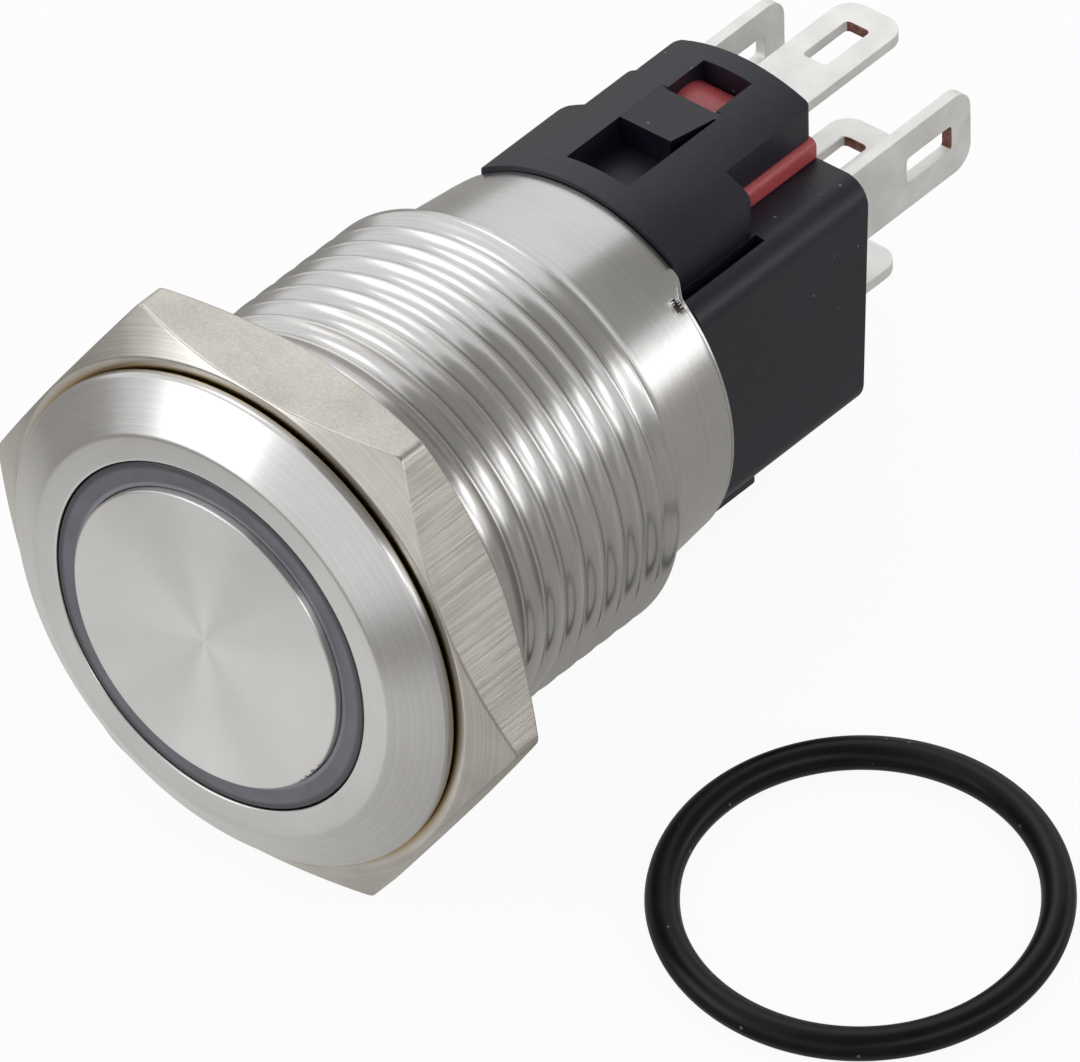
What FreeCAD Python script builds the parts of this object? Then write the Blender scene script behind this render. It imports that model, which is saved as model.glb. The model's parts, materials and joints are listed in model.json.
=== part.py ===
"""Ring-lit metal pushbutton switch for a panel hole, momentary, with a changeover contact.

The switch's axis is +Y, from the button to the lugs, and +Z is up the column of contact lugs.
The origin is on the axis, on the underside of the head, where a panel would bear.
All lengths are millimetres.
"""

import FreeCAD, Part
import math
import os

from FreeCAD import Vector

# Head
HEAD_DIAMETER = 22.0
HEAD_THICKNESS = 1.7
HEAD_SIDE_HEIGHT = 0.4
FACE_WIDTH = 1.15

# Barrel
THREAD_DIAMETER = 19.0
THREAD_LENGTH = 15.6
THREAD_PITCH = 1.193
THREAD_DEPTH = 0.5
THREAD_CREST_WIDTH = 0.16
THREAD_FLANK_ANGLE = 31.0
THREAD_FIRST_CREST = 1.445
THREAD_SINK = 0.15
RUN_OUT_LENGTH = 0.6
SKIRT_LENGTH = 4.7
SKIRT_FRONT_DIAMETER = 17.4
SKIRT_REAR_DIAMETER = 16.5
SKIRT_WALL = 0.55
RIM_RELIEF_DEPTH = 0.5
RIM_LOBE_WIDTH = 11.0
COLLAR_LENGTH = 2.6
COLLAR_LEDGE = 2.1

# Nut
NUT_ACROSS_FLATS = 23.0
NUT_THICKNESS = 3.2
NUT_SEAT_GAP = 0.3
NUT_TURN = -5.1
NUT_CHAMFER_ANGLE = 30.0
NUT_BORE_CHAMFER = 0.4
THREAD_CLEARANCE = 0.06

# Panel seal ring, lying beside the switch on the surface that the switch rests on
SEAL_OUTER_DIAMETER = 16.9
SEAL_SECTION = 1.4
SEAL_CENTRE_X = 20.8
SEAL_CENTRE_Y = 12.7

# Button
DISC_DIAMETER = 13.3
DISC_THICKNESS = 0.9
DISC_PROUD = 0.28
DISC_EDGE_CHAMFER = 0.12
LENS_WIDTH = 1.0
LENS_LENGTH = 2.2
LENS_RECESS = 0.05
LENS_CHAMFER = 0.1
LENS_FIT = 0.03
POCKET_CLEARANCE = 0.12
PLUNGER_FLANGE_THICKNESS = 0.9
STEM_WALL = 1.54
STEM_LENGTH = 7.4
RUNNING_CLEARANCE = 0.06
BUTTON_TRAVEL = 1.6
TRAVEL_MARGIN = 0.25
PLUNGER_SEAL_SECTION = 0.7
CLIP_THICKNESS = 0.5
CLIP_OVERHANG = 1.1
CLIP_MOUTH = 7.6
CLIP_GROOVE_DEPTH = 0.5

# Return spring
SPRING_SIDE_GAP = 0.45
SPRING_WIRE = 0.5
SPRING_TURNS = 5

# Lamp board
BOARD_GAP = 0.15
BOARD_BORE_DIAMETER = 8.4
BOARD_THICKNESS = 0.8
LAMP_COUNT = 4
LAMP_LENGTH = 2.0
LAMP_WIDTH = 1.25
LAMP_HEIGHT = 0.7
LAMP_HEADROOM = 0.4

# Contact block
BLOCK_WIDTH = 12.6
BLOCK_TOP = 5.3
BLOCK_BOTTOM = 5.6
BLOCK_BEHIND_RIM = 10.4
BLOCK_CORNER_RADIUS = 1.15
BLOCK_REAR_LEAN = 0.5
SPIGOT_GAP = 0.04
CHAMBER_WIDTH = 4.2
CHAMBER_HEIGHT = 8.2
CHAMBER_REAR_WALL = 2.5
ROD_BORE_DIAMETER = 3.2
COVER_GROOVE_WIDTH = 0.5
COVER_GROOVE_DEPTH = 0.7

# Covers
COVER_SIDE_HEIGHT = 1.36
COVER_WIDE_WIDTH = 9.75
COVER_WIDE_LENGTH = 5.05
COVER_NARROW_WIDTH = 6.9
COVER_EDGE_RADIUS = 0.35
COVER_WALL = 1.1
COVER_REAR_WALL = 0.9
FRONT_WINDOW_WIDTH = 3.1
FRONT_WINDOW_SETBACK = 1.3
FRONT_WINDOW_LENGTH = 3.3
FRONT_WINDOW_DEPTH = 1.5
REAR_WINDOW_WIDTH = 2.45
REAR_WINDOW_SETBACK = 1.0
REAR_WINDOW_LENGTH = 2.3
TONGUE_SLIT = 0.55
TONGUE_SLIT_END = 0.1
TONGUE_DROP = 0.15

# Red insert under the top cover
INSERT_WIDTH = 7.4
INSERT_THICKNESS = 0.95
INSERT_SETBACK = 0.05
INSERT_BOSS_RADIUS = 1.7
INSERT_BOSS_WIDTH = 3.3
INSERT_BOSS_SINK = 0.15
PART_GAP = 0.03

# Lugs
LUG_THICKNESS = 0.5
LUG_WIDTH = 3.15
LUG_PITCH = 5.6
LUG_COLUMN_Z = -0.05
LUG_REACH = 8.3
LUG_TIP_RADIUS = 1.0
LUG_SLOT_WIDTH = 1.2
LUG_SLOT_LENGTH = 2.8
LUG_SLOT_RADIUS = 0.2
LUG_SLOT_MARGIN = 1.2
LUG_LEAD = 1.2
LAMP_LUG_WIDTH = 3.75
LAMP_LUG_X = 4.75
LAMP_LUG_Z = 2.85
LAMP_LUG_REACH = 8.05
LAMP_LUG_LEG_WIDTH = 1.6

# Changeover contact
RIVET_SHANK_DIAMETER = 1.2
RIVET_HEAD_DIAMETER = 2.0
RIVET_HEAD_HEIGHT = 0.45
SLIDER_SETBACK = 3.2
SLIDER_LENGTH = 3.6
SLIDER_SLOT_DEPTH = 2.2
SLIDER_SLOT_HEIGHT = 0.8
SLIDER_SIDE_GAP = 0.15
SLIDER_HEIGHT = 7.2
ROD_DIAMETER = 2.9
WIPER_REACH = 2.6
WIPER_THICKNESS = 0.2
WIPER_WIDTH = 1.8
WIPER_GAP = 0.05
LAMP_SPRING_DIAMETER = 1.3
LAMP_SPRING_WIRE = 0.25
LAMP_SPRING_LENGTH = 2.8
LAMP_SPRING_TURNS = 4

# Diameters of the button's stack, from the disc outwards
LENS_DIAMETER = DISC_DIAMETER + 2 * (LENS_FIT + LENS_WIDTH)
POCKET_DIAMETER = LENS_DIAMETER + 2 * POCKET_CLEARANCE
FACE_DIAMETER = POCKET_DIAMETER + 2 * FACE_WIDTH
PLUNGER_FLANGE_DIAMETER = LENS_DIAMETER - 2 * LENS_FIT
REAR_BORE_DIAMETER = SKIRT_REAR_DIAMETER - 2 * SKIRT_WALL
COLLAR_BORE_DIAMETER = REAR_BORE_DIAMETER - 2 * COLLAR_LEDGE
STEM_DIAMETER = COLLAR_BORE_DIAMETER - 2 * RUNNING_CLEARANCE
STEM_BORE_DIAMETER = STEM_DIAMETER - 2 * STEM_WALL
SPRING_MEAN_DIAMETER = STEM_BORE_DIAMETER - SPRING_WIRE - 2 * SPRING_SIDE_GAP
CLIP_DIAMETER = COLLAR_BORE_DIAMETER + 2 * CLIP_OVERHANG
SPIGOT_DIAMETER = REAR_BORE_DIAMETER - 2 * SPIGOT_GAP
BOARD_DIAMETER = REAR_BORE_DIAMETER - 2 * BOARD_GAP
LAMP_CIRCLE_DIAMETER = (BOARD_DIAMETER + BOARD_BORE_DIAMETER) / 2

# Places along the axis, from the front back
FACE_Y = -HEAD_THICKNESS
DISC_FRONT = FACE_Y - DISC_PROUD
DISC_REAR = DISC_FRONT + DISC_THICKNESS
LENS_FRONT = FACE_Y + LENS_RECESS
LENS_REAR = LENS_FRONT + LENS_LENGTH
FLANGE_REAR = LENS_REAR + PLUNGER_FLANGE_THICKNESS
COLLAR_FRONT = FLANGE_REAR + BUTTON_TRAVEL + TRAVEL_MARGIN
COLLAR_REAR = COLLAR_FRONT + COLLAR_LENGTH
STEM_REAR = FLANGE_REAR + STEM_LENGTH
HUB_REAR = LENS_REAR
LAMP_FRONT = STEM_REAR + BUTTON_TRAVEL + LAMP_HEADROOM
BOARD_FRONT = LAMP_FRONT + LAMP_HEIGHT
BLOCK_FRONT = BOARD_FRONT + BOARD_THICKNESS
SLIDER_FRONT = BLOCK_FRONT + SLIDER_SETBACK
SLIDER_REAR = SLIDER_FRONT + SLIDER_LENGTH
SLIDER_SLOT_FRONT = SLIDER_REAR - SLIDER_SLOT_DEPTH
COMMON_LUG_FRONT = SLIDER_SLOT_FRONT + BUTTON_TRAVEL + TRAVEL_MARGIN
REST_CONTACT_Y = SLIDER_REAR + WIPER_REACH
PRESSED_CONTACT_Y = REST_CONTACT_Y + BUTTON_TRAVEL
OUTER_LUG_FRONT = REST_CONTACT_Y - LUG_LEAD
LAMP_LUG_FRONT = BLOCK_FRONT + LAMP_SPRING_LENGTH
CHAMBER_FRONT = SLIDER_FRONT - TRAVEL_MARGIN

# Places that follow from the barrel's rim
BARREL_LENGTH = THREAD_LENGTH + RUN_OUT_LENGTH + SKIRT_LENGTH
COVER_STEP = BARREL_LENGTH + COVER_WIDE_LENGTH
BLOCK_REAR = BARREL_LENGTH + BLOCK_BEHIND_RIM
FRONT_WINDOW_START = BARREL_LENGTH + FRONT_WINDOW_SETBACK
REAR_WINDOW_START = BLOCK_REAR - REAR_WINDOW_SETBACK - REAR_WINDOW_LENGTH
INSERT_FRONT = COVER_STEP + INSERT_SETBACK
CHAMBER_REAR = BLOCK_REAR - CHAMBER_REAR_WALL

# Heights and widths of block and covers
COVER_RADIUS = math.hypot(COVER_WIDE_WIDTH / 2, BLOCK_BOTTOM + COVER_SIDE_HEIGHT)
INSERT_TOP = BLOCK_TOP + INSERT_THICKNESS
CHAMBER_TOP = CHAMBER_HEIGHT / 2
SLIDER_WIDTH = CHAMBER_WIDTH - 2 * SLIDER_SIDE_GAP

AXIS = Vector(0, 1, 0)
UP = Vector(0, 0, 1)


def at(radius, y):
    """A point of a profile that is turned about the axis."""
    return Vector(radius, y, 0)


def turned(points):
    """A solid of revolution about the axis, from the points of its half section."""
    face = Part.Face(Part.makePolygon(points + points[:1]))
    return face.revolve(Vector(0, 0, 0), AXIS, 360)


def rod(diameter, y0, y1, x=0.0, z=0.0):
    """A round bar along the axis."""
    return Part.makeCylinder(diameter / 2, y1 - y0, Vector(x, y0, z), AXIS)


def ring(outer, inner, y0, y1):
    """A plain ring about the axis."""
    r_out, r_in = outer / 2, inner / 2
    return turned([at(r_in, y0), at(r_out, y0), at(r_out, y1), at(r_in, y1)])


def block(x0, x1, y0, y1, z0, z1):
    """A box between two corners."""
    return Part.makeBox(x1 - x0, y1 - y0, z1 - z0, Vector(x0, y0, z0))


def slab(width, y0, y1, z0, z1):
    """A box centred across the width."""
    return block(-width / 2, width / 2, y0, y1, z0, z1)


def rounded(shape, radius, direction, keep=None):
    """Round the straight edges that run along one direction, where keep allows."""
    edges = []
    for edge in shape.Edges:
        if not isinstance(edge.Curve, Part.Line):
            continue
        along = edge.tangentAt(edge.FirstParameter)
        if abs(along.dot(direction)) > 0.999 and (keep is None or keep(edge.CenterOfMass)):
            edges.append(edge)
    return shape.makeFillet(radius, edges)


def torus(mean_diameter, section, centre, axis):
    """A round-section ring."""
    return Part.makeTorus(mean_diameter / 2, section / 2, centre, axis)


def coil(mean_diameter, wire, y0, y1, turns, x=0.0, z=0.0):
    """A spring along the axis whose end turns lie inside the two planes."""
    height = y1 - y0 - wire
    helix = Part.makeHelix(height / turns, height, mean_diameter / 2)
    start = Vector(mean_diameter / 2, 0, 0)
    section = Part.Wire(Part.makeCircle(wire / 2, start, AXIS))
    spring = Part.Wire(helix).makePipeShell([section], True, True)
    spring.rotate(Vector(0, 0, 0), Vector(1, 0, 0), -90)
    spring.translate(Vector(x, y0 + wire / 2, z))
    return spring


# Barrel


def barrel_blank():
    """The head, the core under the thread and the tapered skirt, solid."""
    head = HEAD_DIAMETER / 2
    core = THREAD_DIAMETER / 2 - THREAD_DEPTH
    return turned([
        at(0, FACE_Y),
        at(FACE_DIAMETER / 2, FACE_Y),
        at(head, -HEAD_SIDE_HEIGHT),
        at(head, 0),
        at(core, 0),
        at(core, THREAD_LENGTH),
        at(SKIRT_FRONT_DIAMETER / 2, THREAD_LENGTH + RUN_OUT_LENGTH),
        at(SKIRT_REAR_DIAMETER / 2, BARREL_LENGTH),
        at(0, BARREL_LENGTH),
    ])


def thread_ridge():
    """The right-hand thread: one ridge that climbs the core, with its foot sunk into it."""
    crest = THREAD_DIAMETER / 2
    foot = crest - THREAD_DEPTH - THREAD_SINK
    half_crest = THREAD_CREST_WIDTH / 2
    half_foot = half_crest + (crest - foot) * math.tan(math.radians(THREAD_FLANK_ANGLE))
    section = [
        Vector(foot, 0, -half_foot), Vector(crest, 0, -half_crest),
        Vector(crest, 0, half_crest), Vector(foot, 0, half_foot),
    ]
    climb = THREAD_LENGTH - half_foot - THREAD_FIRST_CREST
    helix = Part.Wire(Part.makeHelix(THREAD_PITCH, climb, crest))
    ridge = helix.makePipeShell([Part.makePolygon(section + section[:1])], True, True)
    ridge.rotate(Vector(0, 0, 0), Vector(1, 0, 0), -90)
    ridge.translate(AXIS * THREAD_FIRST_CREST)
    return ridge


def make_body_barrel():
    """The turned barrel: button pocket, inner collar, rear bore and a rim cut back at both sides."""
    beyond = 1.0
    barrel = barrel_blank()
    barrel = barrel.cut(rod(POCKET_DIAMETER, FACE_Y - beyond, COLLAR_FRONT))
    barrel = barrel.cut(rod(COLLAR_BORE_DIAMETER, COLLAR_FRONT - beyond, COLLAR_REAR + beyond))
    barrel = barrel.cut(rod(REAR_BORE_DIAMETER, COLLAR_REAR, BARREL_LENGTH + beyond))
    rim_start = BARREL_LENGTH - RIM_RELIEF_DEPTH
    reach = SKIRT_FRONT_DIAMETER
    for side in (-1, 1):
        inner = side * RIM_LOBE_WIDTH / 2
        outer = side * reach
        relief = block(min(inner, outer), max(inner, outer), rim_start, BARREL_LENGTH + beyond, -reach, reach)
        barrel = barrel.cut(relief)
    return barrel.fuse(thread_ridge()).Solids[0]


# Nut


def nut_radius_at_corner():
    return NUT_ACROSS_FLATS / 2 / math.cos(math.radians(30))


def make_hex_nut():
    """A hexagon whose two faces are turned back at 30 degrees to the circle across its flats."""
    front = NUT_SEAT_GAP
    rear = front + NUT_THICKNESS
    corner = nut_radius_at_corner()
    outline = []
    for k in range(6):
        angle = math.radians(60 * k + NUT_TURN)
        outline.append(Vector(corner * math.cos(angle), front, corner * math.sin(angle)))
    prism = Part.Face(Part.makePolygon(outline + outline[:1])).extrude(AXIS * NUT_THICKNESS)
    inscribed = NUT_ACROSS_FLATS / 2
    slope = math.tan(math.radians(NUT_CHAMFER_ANGLE))
    reach = corner + 1.0
    drop = (reach - inscribed) * slope
    limit = turned([
        at(0, front),
        at(inscribed, front),
        at(reach, front + drop),
        at(reach, rear - drop),
        at(inscribed, rear),
        at(0, rear),
    ])
    bore = THREAD_DIAMETER / 2 + THREAD_CLEARANCE
    hole = turned([
        at(0, front),
        at(bore + NUT_BORE_CHAMFER, front),
        at(bore, front + NUT_BORE_CHAMFER),
        at(bore, rear - NUT_BORE_CHAMFER),
        at(bore + NUT_BORE_CHAMFER, rear),
        at(0, rear),
    ])
    return prism.common(limit).cut(hole)


# Panel seal ring


def resting_normal():
    """The upward normal of the surface that the nut's lowest flat and the bottom cover rest on."""
    flat = NUT_ACROSS_FLATS / 2
    run = BLOCK_REAR - (NUT_SEAT_GAP + NUT_THICKNESS)
    pitch = math.atan((flat - COVER_RADIUS) / run)
    roll = math.radians(NUT_TURN)
    across = Vector(-math.sin(roll), 0, math.cos(roll))
    return across * math.cos(pitch) - AXIS * math.sin(pitch)


def make_panel_seal_ring():
    """The rubber ring, laid flat on the resting surface."""
    normal = resting_normal()
    flat = NUT_ACROSS_FLATS / 2
    roll = math.radians(NUT_TURN)
    down = Vector(math.sin(roll), 0, -math.cos(roll))
    contact = down * flat + AXIS * (NUT_SEAT_GAP + NUT_THICKNESS)
    height = contact.dot(normal) + SEAL_SECTION / 2
    flat_part = normal.x * SEAL_CENTRE_X + normal.y * SEAL_CENTRE_Y
    centre = Vector(SEAL_CENTRE_X, SEAL_CENTRE_Y, (height - flat_part) / normal.z)
    return torus(SEAL_OUTER_DIAMETER - SEAL_SECTION, SEAL_SECTION, centre, normal)


# Button


def make_button_disc():
    """The flat disc that the finger meets, with its edge just broken."""
    radius = DISC_DIAMETER / 2
    c = DISC_EDGE_CHAMFER
    return turned([
        at(0, DISC_FRONT),
        at(radius - c, DISC_FRONT),
        at(radius, DISC_FRONT + c),
        at(radius, DISC_REAR),
        at(0, DISC_REAR),
    ])


def make_lens_ring():
    """The lens between disc and head, with a chamfer at its outer front edge."""
    inner = DISC_DIAMETER / 2 + LENS_FIT
    outer = LENS_DIAMETER / 2
    return turned([
        at(inner, LENS_FRONT),
        at(outer - LENS_CHAMFER, LENS_FRONT),
        at(outer, LENS_FRONT + LENS_CHAMFER),
        at(outer, LENS_REAR),
        at(inner, LENS_REAR),
    ])


def make_button_plunger():
    """Hub under the disc, flange under the lens, and a hollow stem grooved for seal and clip."""
    stem = STEM_DIAMETER / 2
    bore = STEM_BORE_DIAMETER / 2
    seal_start, seal_end = seal_groove()
    seal_floor = stem - PLUNGER_SEAL_SECTION
    clip_start = COLLAR_REAR + RUNNING_CLEARANCE
    clip_end = clip_start + CLIP_THICKNESS + 2 * PART_GAP
    clip_floor = stem - CLIP_GROOVE_DEPTH
    return turned([
        at(0, DISC_REAR),
        at(DISC_DIAMETER / 2, DISC_REAR),
        at(DISC_DIAMETER / 2, LENS_REAR),
        at(PLUNGER_FLANGE_DIAMETER / 2, LENS_REAR),
        at(PLUNGER_FLANGE_DIAMETER / 2, FLANGE_REAR),
        at(stem, FLANGE_REAR),
        at(stem, seal_start),
        at(seal_floor, seal_start),
        at(seal_floor, seal_end),
        at(stem, seal_end),
        at(stem, clip_start - PART_GAP),
        at(clip_floor, clip_start - PART_GAP),
        at(clip_floor, clip_end - PART_GAP),
        at(stem, clip_end - PART_GAP),
        at(stem, STEM_REAR),
        at(bore, STEM_REAR),
        at(bore, HUB_REAR),
        at(0, HUB_REAR),
    ])


def seal_groove():
    """Where the plunger seal's groove starts and ends, so that it stays inside the collar."""
    start = COLLAR_FRONT + RUNNING_CLEARANCE
    return start, start + PLUNGER_SEAL_SECTION + 2 * PART_GAP


def make_plunger_seal():
    """A small rubber ring in the stem's front groove."""
    start, end = seal_groove()
    section = PLUNGER_SEAL_SECTION
    mean = STEM_DIAMETER - section
    return torus(mean, section, Vector(0, (start + end) / 2, 0), AXIS)


def make_retaining_clip():
    """An open clip in the stem's rear groove, which meets the collar when the button is out."""
    start = COLLAR_REAR + RUNNING_CLEARANCE
    inner = STEM_DIAMETER - 2 * CLIP_GROOVE_DEPTH + 2 * PART_GAP
    clip = ring(CLIP_DIAMETER, inner, start, start + CLIP_THICKNESS)
    mouth = slab(CLIP_MOUTH, start - 1, start + CLIP_THICKNESS + 1, -CLIP_DIAMETER, 0)
    return clip.cut(mouth)


def make_return_spring():
    """The coil between the block's front and the plunger's hub, at its length with the button out."""
    return coil(
        SPRING_MEAN_DIAMETER, SPRING_WIRE, HUB_REAR + PART_GAP, BLOCK_FRONT - PART_GAP, SPRING_TURNS
    )


# Lamps


def make_lamp_board():
    """The ring board on the block's front."""
    return ring(BOARD_DIAMETER, BOARD_BORE_DIAMETER, BOARD_FRONT, BLOCK_FRONT)


def make_lamp(index):
    """One lamp chip, on the circle of lamps."""
    radius = LAMP_CIRCLE_DIAMETER / 2
    chip = block(
        radius - LAMP_WIDTH / 2, radius + LAMP_WIDTH / 2,
        LAMP_FRONT, BOARD_FRONT,
        -LAMP_LENGTH / 2, LAMP_LENGTH / 2,
    )
    chip.rotate(Vector(0, 0, 0), AXIS, 360.0 * index / LAMP_COUNT)
    return chip


def make_lamp_spring(side):
    """The small spring that joins the board to one lamp lug."""
    return coil(
        LAMP_SPRING_DIAMETER, LAMP_SPRING_WIRE, BLOCK_FRONT + PART_GAP, LAMP_LUG_FRONT - PART_GAP,
        LAMP_SPRING_TURNS, side * LAMP_LUG_X, lamp_leg_z(),
    )


def lamp_leg_z():
    """The height of the lamp lugs' inner legs, at the lug's lower edge."""
    return LAMP_LUG_Z - (LAMP_LUG_WIDTH - LAMP_LUG_LEG_WIDTH) / 2


# Contact block


def block_outline_solid():
    """The block behind the barrel: rounded long edges, and a rear face that leans as rear_face says."""
    half = BLOCK_WIDTH / 2
    body = slab(BLOCK_WIDTH, BARREL_LENGTH, BLOCK_REAR, -BLOCK_BOTTOM, BLOCK_TOP)
    body = rounded(body, BLOCK_CORNER_RADIUS, AXIS)
    low = -BLOCK_BOTTOM - 1
    lean = [
        Vector(-half - 1, BLOCK_REAR, BLOCK_TOP),
        Vector(-half - 1, BLOCK_REAR + 1, BLOCK_TOP),
        Vector(-half - 1, BLOCK_REAR + 1, low),
        Vector(-half - 1, rear_face(low), low),
    ]
    wedge = Part.Face(Part.makePolygon(lean + lean[:1])).extrude(Vector(BLOCK_WIDTH + 2, 0, 0))
    return body.cut(wedge)


def rear_face(z):
    """Where the block's rear face is at a height: it leans forward towards the bottom."""
    return BLOCK_REAR - BLOCK_REAR_LEAN * (BLOCK_TOP - z) / (BLOCK_TOP + BLOCK_BOTTOM)


def lug_cutter(z_mid, y0):
    """The slot that a flat contact lug is pressed into."""
    half = LUG_THICKNESS / 2
    return slab(LUG_WIDTH, y0, BLOCK_REAR + 1, z_mid - half, z_mid + half)


def lamp_lug_cutter(side):
    """The slot for one lamp lug, its leg and the spring in front of it."""
    half = LUG_THICKNESS / 2
    x = side * LAMP_LUG_X
    z = lamp_leg_z()
    leg = LAMP_LUG_LEG_WIDTH / 2
    low = LAMP_LUG_Z - LAMP_LUG_WIDTH / 2
    plate = block(x - half, x + half, lamp_plate_front(), BLOCK_REAR + 1, low, low + LAMP_LUG_WIDTH)
    slot = block(x - half, x + half, LAMP_LUG_FRONT, BLOCK_REAR, z - leg, z + leg)
    hole = rod(LAMP_SPRING_DIAMETER + LAMP_SPRING_WIRE + 0.3, BLOCK_FRONT - 1, LAMP_LUG_FRONT, x, z)
    return plate.fuse(slot).fuse(hole)


def lamp_plate_front():
    """Where a lamp lug widens from its leg to its full plate."""
    return BLOCK_REAR - CHAMBER_REAR_WALL


def make_contact_block():
    """Spigot in the barrel, block behind it, chamber for the slider and a slot for every lug."""
    body = block_outline_solid().fuse(rod(SPIGOT_DIAMETER, BLOCK_FRONT, BARREL_LENGTH))
    body = body.cut(slab(CHAMBER_WIDTH, CHAMBER_FRONT, CHAMBER_REAR, -CHAMBER_TOP, CHAMBER_TOP))
    body = body.cut(rod(ROD_BORE_DIAMETER, BLOCK_FRONT - 1, CHAMBER_FRONT + 1))
    for z_mid, y0 in lug_planes():
        body = body.cut(lug_cutter(z_mid, y0))
    for z_mid, contact_y in rivet_places():
        body = body.cut(rivet_shank(z_mid, contact_y))
    for side in (-1, 1):
        body = body.cut(lamp_lug_cutter(side))
        for turn in (-1, 1):
            body = body.cut(cover_groove(side, turn))
    return body.removeSplitter()


def cover_groove(side, turn):
    """The narrow groove in the block's face along one side of a cover's wide part."""
    start = side * COVER_WIDE_WIDTH / 2
    end = side * (COVER_WIDE_WIDTH / 2 + COVER_GROOVE_WIDTH)
    face = BLOCK_TOP if turn > 0 else BLOCK_BOTTOM
    floor = turn * (face - COVER_GROOVE_DEPTH)
    outside = turn * (face + 1)
    return block(
        min(start, end), max(start, end),
        BARREL_LENGTH, COVER_STEP,
        min(floor, outside), max(floor, outside),
    )


# Covers


def cover_segment(width, y0, y1, base_z):
    """The part of a cylinder about the axis that stands above a plane, cut to a width."""
    segment = rod(2 * COVER_RADIUS, y0, y1)
    return segment.common(slab(width, y0 - 1, y1 + 1, base_z, COVER_RADIUS + 1))


def cover_shell(base_z):
    """A cover over the block, from one of its faces out: wide in front, narrow behind."""
    wide = cover_segment(COVER_WIDE_WIDTH, BARREL_LENGTH + PART_GAP, COVER_STEP, base_z)
    wide = rounded(wide, COVER_EDGE_RADIUS, UP, lambda p: p.y > COVER_STEP - 0.1)
    narrow = cover_segment(COVER_NARROW_WIDTH, COVER_STEP - 0.5, BLOCK_REAR, base_z)
    narrow = rounded(narrow, COVER_EDGE_RADIUS, UP, lambda p: p.y > BLOCK_REAR - 0.1)
    return wide.fuse(narrow).removeSplitter()


def front_pocket():
    """The front window: a pocket in a cover's top."""
    start = FRONT_WINDOW_START
    floor = COVER_RADIUS - FRONT_WINDOW_DEPTH
    return slab(FRONT_WINDOW_WIDTH, start, start + FRONT_WINDOW_LENGTH, floor, COVER_RADIUS + 1)


def cover_windows():
    """Both windows, the tapering slit beside the latch tongue and the tongue's lowered top."""
    rear_end = REAR_WINDOW_START + REAR_WINDOW_LENGTH
    rear = slab(REAR_WINDOW_WIDTH, REAR_WINDOW_START, rear_end, BLOCK_TOP, COVER_RADIUS + 1)
    tongue_start = FRONT_WINDOW_START + FRONT_WINDOW_LENGTH - 0.1
    edge = FRONT_WINDOW_WIDTH / 2
    slit_end = REAR_WINDOW_START - 0.3
    wedge = [
        Vector(edge - TONGUE_SLIT, tongue_start, BLOCK_TOP), Vector(edge, tongue_start, BLOCK_TOP),
        Vector(edge, slit_end, BLOCK_TOP), Vector(edge - TONGUE_SLIT_END, slit_end, BLOCK_TOP),
    ]
    slit = Part.Face(Part.makePolygon(wedge + wedge[:1])).extrude(UP * COVER_RADIUS)
    drop_floor = COVER_RADIUS - TONGUE_DROP
    drop = block(-edge, edge, tongue_start, REAR_WINDOW_START + 0.1, drop_floor, COVER_RADIUS + 1)
    return front_pocket().fuse(rear).fuse(slit).fuse(drop)


def make_top_cover():
    """The cover over the upper lug, hollow over the insert, with both windows."""
    width = COVER_NARROW_WIDTH - 2 * COVER_WALL
    hollow = slab(width, COVER_STEP, BLOCK_REAR - COVER_REAR_WALL, BLOCK_TOP, COVER_RADIUS - COVER_WALL)
    insert_room = slab(
        INSERT_WIDTH + 1, INSERT_FRONT - PART_GAP, BLOCK_REAR + 1, BLOCK_TOP - 1, INSERT_TOP + PART_GAP
    )
    hollow = hollow.fuse(insert_boss(INSERT_BOSS_RADIUS + PART_GAP, INSERT_BOSS_WIDTH + 2 * PART_GAP))
    cover = cover_shell(BLOCK_TOP).cut(hollow).cut(insert_room).cut(cover_windows())
    cover = cover.cut(lug_cutter(upper_lug_z(), OUTER_LUG_FRONT - PART_GAP))
    return cover.cut(rivet_shank(upper_lug_z(), REST_CONTACT_Y))


def make_bottom_cover():
    """The twin of the top cover under the block, with its front window and no insert."""
    cover = cover_shell(BLOCK_BOTTOM).cut(front_pocket())
    cover.rotate(Vector(0, 0, 0), AXIS, 180)
    cover = cover.cut(lug_cutter(lower_lug_z(), OUTER_LUG_FRONT - PART_GAP))
    return cover.cut(rivet_shank(lower_lug_z(), PRESSED_CONTACT_Y))


def make_red_insert():
    """The red plate between cover and block, with a rounded boss under the rear window."""
    front = INSERT_FRONT
    plate = slab(INSERT_WIDTH, front, BLOCK_REAR, BLOCK_TOP, INSERT_TOP)
    soft = INSERT_THICKNESS * 0.4
    plate = rounded(plate, soft, AXIS, lambda p: p.z > INSERT_TOP - 0.1)
    boss = insert_boss(INSERT_BOSS_RADIUS, INSERT_BOSS_WIDTH)
    boss = boss.common(slab(INSERT_BOSS_WIDTH, front, BLOCK_REAR, BLOCK_TOP, COVER_RADIUS))
    insert = plate.fuse(boss).removeSplitter()
    return insert.cut(lug_cutter(upper_lug_z(), OUTER_LUG_FRONT))


def insert_boss(radius, width):
    """A bar across the insert, under the rear window."""
    y = REAR_WINDOW_START + REAR_WINDOW_LENGTH / 2
    start = Vector(-width / 2, y, INSERT_TOP - INSERT_BOSS_SINK)
    return Part.makeCylinder(radius, width, start, Vector(1, 0, 0))


# Lugs


def upper_lug_z():
    return LUG_COLUMN_Z + LUG_PITCH


def lower_lug_z():
    return LUG_COLUMN_Z - LUG_PITCH


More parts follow.
